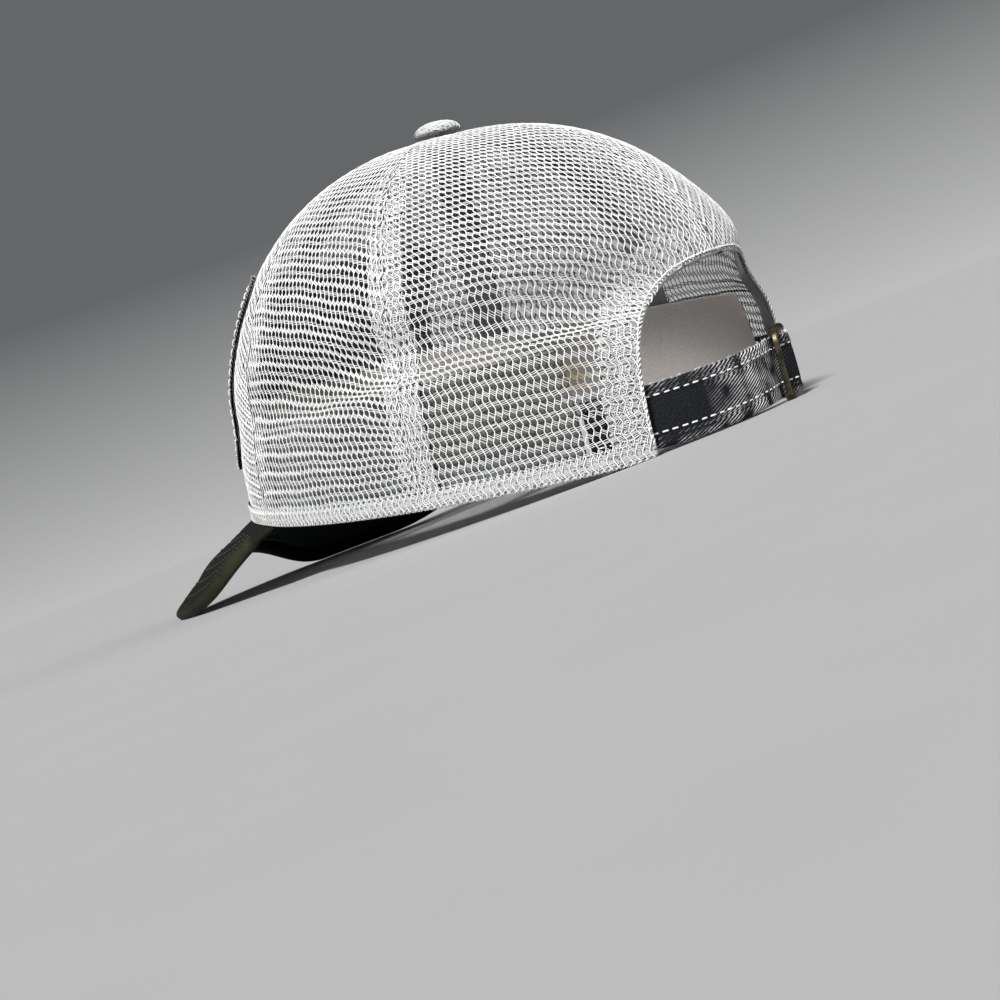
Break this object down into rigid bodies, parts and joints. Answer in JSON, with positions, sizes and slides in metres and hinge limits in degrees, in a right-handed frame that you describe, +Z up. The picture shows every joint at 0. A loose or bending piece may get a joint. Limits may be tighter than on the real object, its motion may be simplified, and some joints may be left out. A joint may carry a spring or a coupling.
{
  "type": "trucker cap",
  "caption": "Six-panel net trucker cap with a curved peak, a bare front patch, an arched opening at the back and a denim strap with a slide buckle.",
  "frame": {"origin": "middle of the bounding box at its base, on the surface that the cap rests on", "axes": "+Y from the peak to the rear arch, +X to the wearer's left, +Z up"},
  "size_m": [0.1628, 0.2554, 0.1271],
  "materials": {
    "net": "pale silver-grey warp-knit net, matt",
    "sweatband": "light beige-grey brushed cotton",
    "denim": "washed black denim twill, worn pale on its edges",
    "peak_cover": "black cotton twill with an olive cast where it is worn",
    "peak_lining": "dark slate-green cotton",
    "brass": "antique brass, darkened, bright on its edges"
  },
  "bodies": {
    "root": {"front_panel_left": "net", "front_panel_right": "net", "side_panel_left": "net", "side_panel_right": "net", "rear_panel_left": "net", "rear_panel_right": "net", "seam_front": "net", "seam_left_front": "net", "seam_left_rear": "net", "seam_right_front": "net", "seam_right_rear": "net", "seam_rear": "net", "arch_band": "net", "hem_band": "net", "top_button": "net", "sweatband": "sweatband", "front_patch": "denim", "strap": "denim", "peak": "peak_cover", "peak_underside": "peak_lining", "buckle": "brass"}
  },
  "joints": []
}
